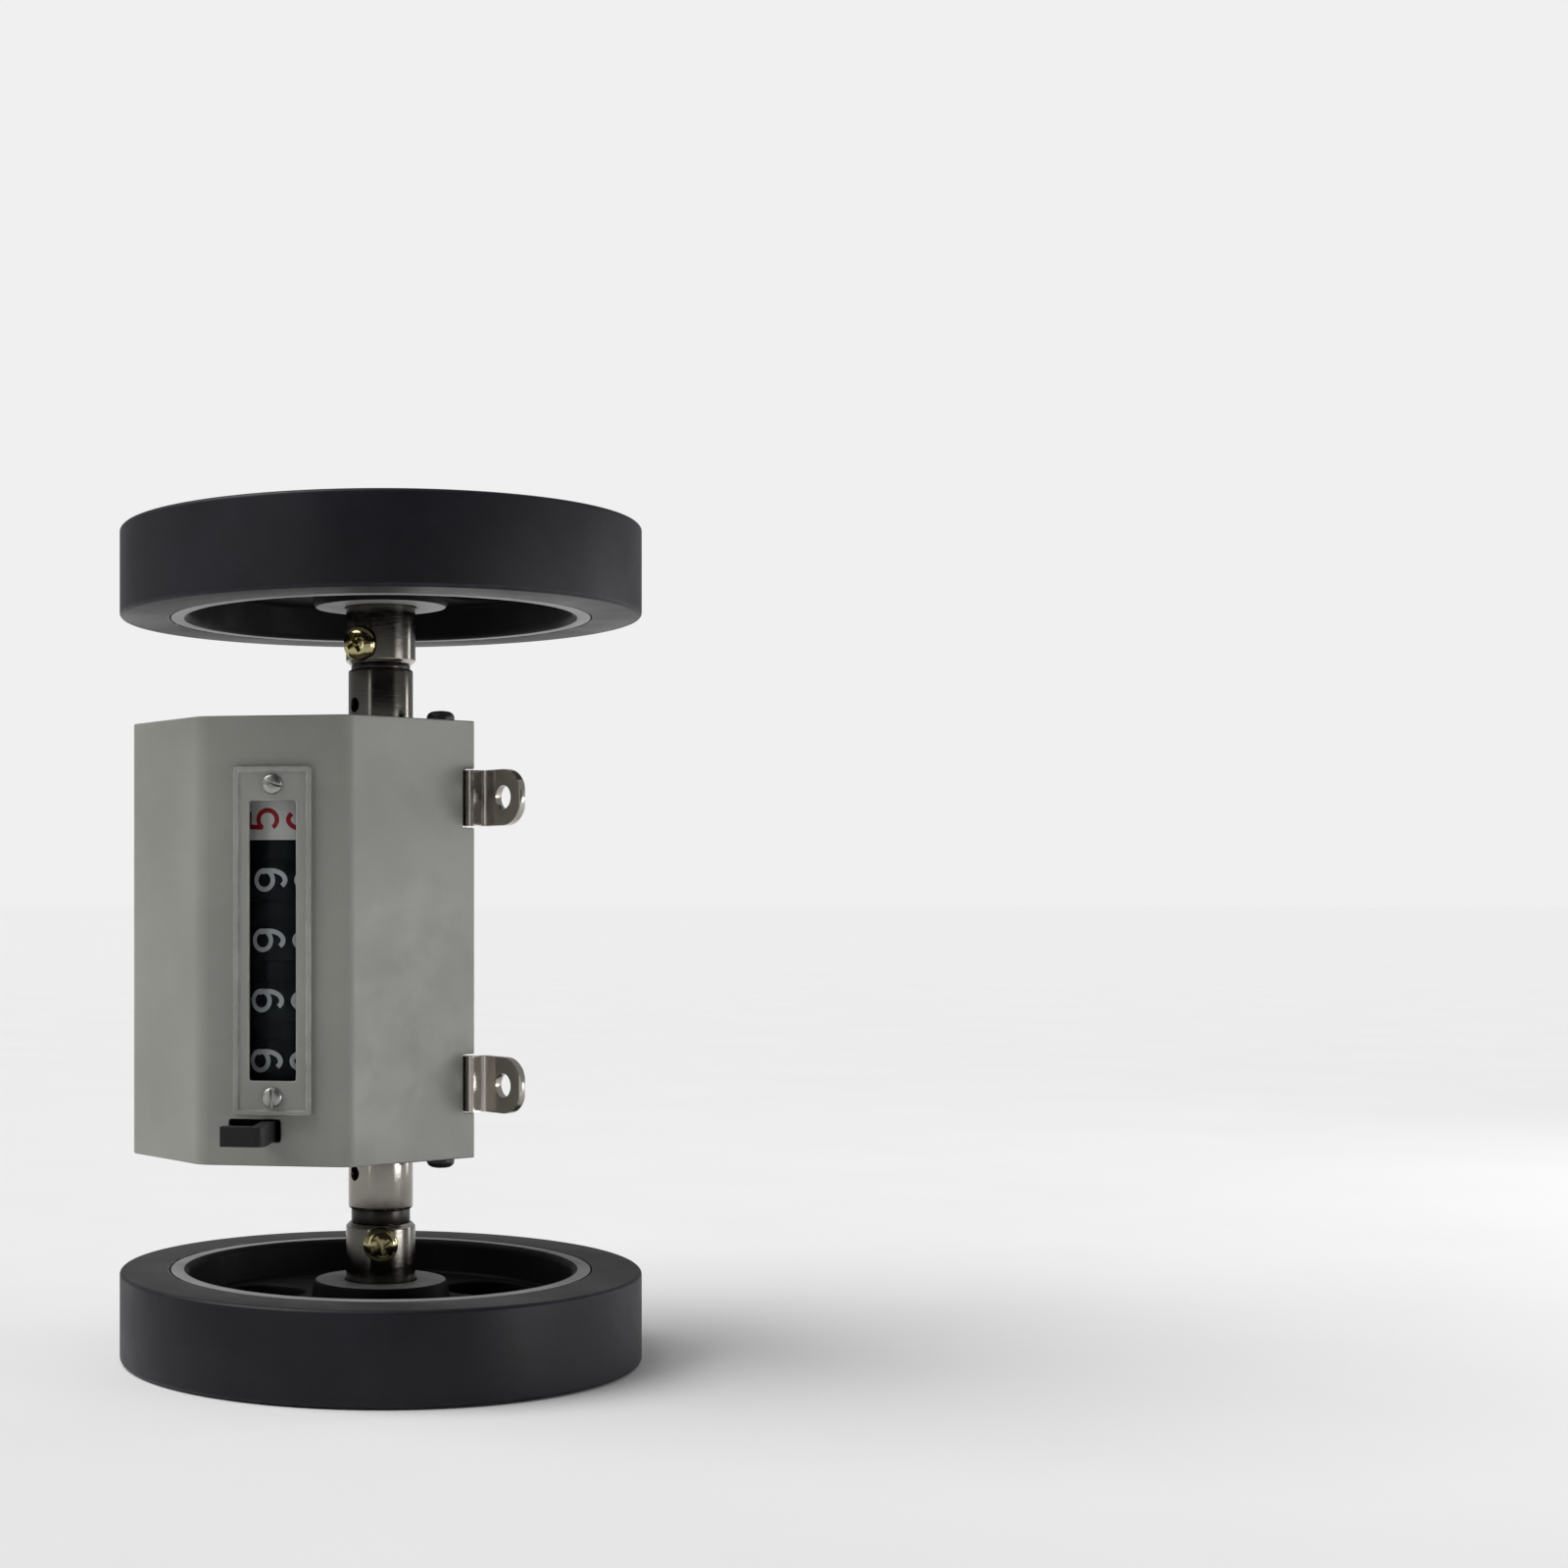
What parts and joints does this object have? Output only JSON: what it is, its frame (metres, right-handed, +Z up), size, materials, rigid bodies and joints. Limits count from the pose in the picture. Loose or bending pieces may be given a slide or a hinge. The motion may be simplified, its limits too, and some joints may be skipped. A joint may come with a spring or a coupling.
{
  "type": "cable length counter",
  "caption": "Roller-type mechanical length counter: rubber-tyred measuring wheels turn a figure-wheel register in a lugged casing with a reset lever.",
  "frame": {"origin": "on the axle's axis at the outer face of the lower measuring wheel, which the counter stands on", "axes": "+Z up along the axle, +X out of the lugged base of the casing, -Y out of its front wall, -X out of its top"},
  "size_m": [0.1062, 0.1062, 0.168],
  "materials": {
    "casing_paint": "grey-green hammer-finish paint, satin",
    "bezel_paint": "grey-green paint, satin",
    "nickel": "bright nickel plate",
    "steel": "zinc-plated sheet steel",
    "ground_steel": "ground round bar",
    "spring_steel": "oiled spring wire",
    "black_screw": "black oxide",
    "silver_screw": "bright nickel plate",
    "yellow_zinc": "yellow passivated zinc",
    "wheel_plastic": "black moulded nylon",
    "tyre_rubber": "black moulded rubber",
    "figure_black": "black moulded acetal",
    "figure_white": "white moulded acetal",
    "gear_plastic": "natural acetal",
    "lever_black": "black painted strip steel",
    "pane_clear": "clear acrylic sheet"
  },
  "bodies": {
    "housing": {"cover": "casing_paint", "base_plate": "nickel", "lower_side_plate": "steel", "upper_side_plate": "steel", "frame_rivets": "steel", "lower_bearing": "nickel", "upper_bearing": "nickel", "window_bezel": "bezel_paint", "window_pane": "pane_clear", "bezel_screws": "silver_screw", "cover_screws": "black_screw", "pinion_shaft": "ground_steel", "pinion_spacers": "gear_plastic", "upper_spacer": "gear_plastic", "lower_spacer": "gear_plastic", "reset_spring": "spring_steel"},
    "axle": {"main_shaft": "ground_steel", "thrust_collars": "steel", "collar_grub_screws": "black_screw", "lower_wheel": "wheel_plastic", "upper_wheel": "wheel_plastic", "lower_tyre": "tyre_rubber", "upper_tyre": "tyre_rubber", "lower_collar": "nickel", "upper_collar": "nickel", "lower_clamp_screw": "yellow_zinc", "upper_clamp_screw": "yellow_zinc"},
    "tenths_figures": {"tenths_gear": "gear_plastic", "tenths_wheel": "figure_white"},
    "units_figures": {"units_wheel": "figure_black"},
    "tens_figures": {"tens_wheel": "figure_black"},
    "hundreds_figures": {"hundreds_wheel": "figure_black"},
    "thousands_figures": {"thousands_wheel": "figure_black"},
    "units_carry": {"units_pinion": "gear_plastic"},
    "tens_carry": {"tens_pinion": "gear_plastic"},
    "hundreds_carry": {"hundreds_pinion": "gear_plastic"},
    "thousands_carry": {"thousands_pinion": "gear_plastic"},
    "reset": {"reset_lever": "lever_black", "counter_shaft": "ground_steel", "lever_grub_screw": "black_screw", "shaft_clip": "spring_steel"}
  },
  "joints": [
    {"name": "axle_spin", "type": "hinge", "parent": "housing", "child": "axle", "pos_m": [0, 0, 0.084], "axis": [0, 0, 1], "continuous": true},
    {"name": "tenths_spin", "type": "hinge", "parent": "housing", "child": "tenths_figures", "pos_m": [-0.01807, 0.0065, 0.10866], "axis": [0, 0, 1], "continuous": true},
    {"name": "units_spin", "type": "hinge", "parent": "housing", "child": "units_figures", "pos_m": [-0.01807, 0.0065, 0.09678], "axis": [0, 0, 1], "continuous": true},
    {"name": "units_carry_spin", "type": "hinge", "parent": "housing", "child": "units_carry", "pos_m": [-0.01807, 0.0233, 0.10272], "axis": [0, 0, 1], "continuous": true},
    {"name": "tens_spin", "type": "hinge", "parent": "housing", "child": "tens_figures", "pos_m": [-0.01807, 0.0065, 0.0849], "axis": [0, 0, 1], "continuous": true},
    {"name": "tens_carry_spin", "type": "hinge", "parent": "housing", "child": "tens_carry", "pos_m": [-0.01807, 0.0233, 0.09084], "axis": [0, 0, 1], "continuous": true},
    {"name": "hundreds_spin", "type": "hinge", "parent": "housing", "child": "hundreds_figures", "pos_m": [-0.01807, 0.0065, 0.07302], "axis": [0, 0, 1], "continuous": true},
    {"name": "hundreds_carry_spin", "type": "hinge", "parent": "housing", "child": "hundreds_carry", "pos_m": [-0.01807, 0.0233, 0.07896], "axis": [0, 0, 1], "continuous": true},
    {"name": "thousands_spin", "type": "hinge", "parent": "housing", "child": "thousands_figures", "pos_m": [-0.01807, 0.0065, 0.06114], "axis": [0, 0, 1], "continuous": true},
    {"name": "thousands_carry_spin", "type": "hinge", "parent": "housing", "child": "thousands_carry", "pos_m": [-0.01807, 0.0233, 0.06708], "axis": [0, 0, 1], "continuous": true},
    {"name": "reset_swing", "type": "hinge", "parent": "housing", "child": "reset", "pos_m": [-0.01807, 0.0065, 0.0478], "axis": [0, 0, 1], "range_deg": [-19, 0], "stiffness_Nm_per_rad": 0.02, "springref_deg": 20.05}
  ],
  "couplings": [
    {"joint": "tenths_spin", "follows": "axle_spin", "ratio": -0.33333},
    {"joint": "units_spin", "follows": "axle_spin", "ratio": -0.033333},
    {"joint": "units_carry_spin", "follows": "axle_spin", "ratio": 0.083333},
    {"joint": "tens_spin", "follows": "axle_spin", "ratio": -0.0033333},
    {"joint": "tens_carry_spin", "follows": "axle_spin", "ratio": 0.0083333},
    {"joint": "hundreds_spin", "follows": "axle_spin", "ratio": -0.00033333},
    {"joint": "hundreds_carry_spin", "follows": "axle_spin", "ratio": 0.00083333},
    {"joint": "thousands_spin", "follows": "axle_spin", "ratio": -0.000033333},
    {"joint": "thousands_carry_spin", "follows": "axle_spin", "ratio": 0.000083333}
  ]
}
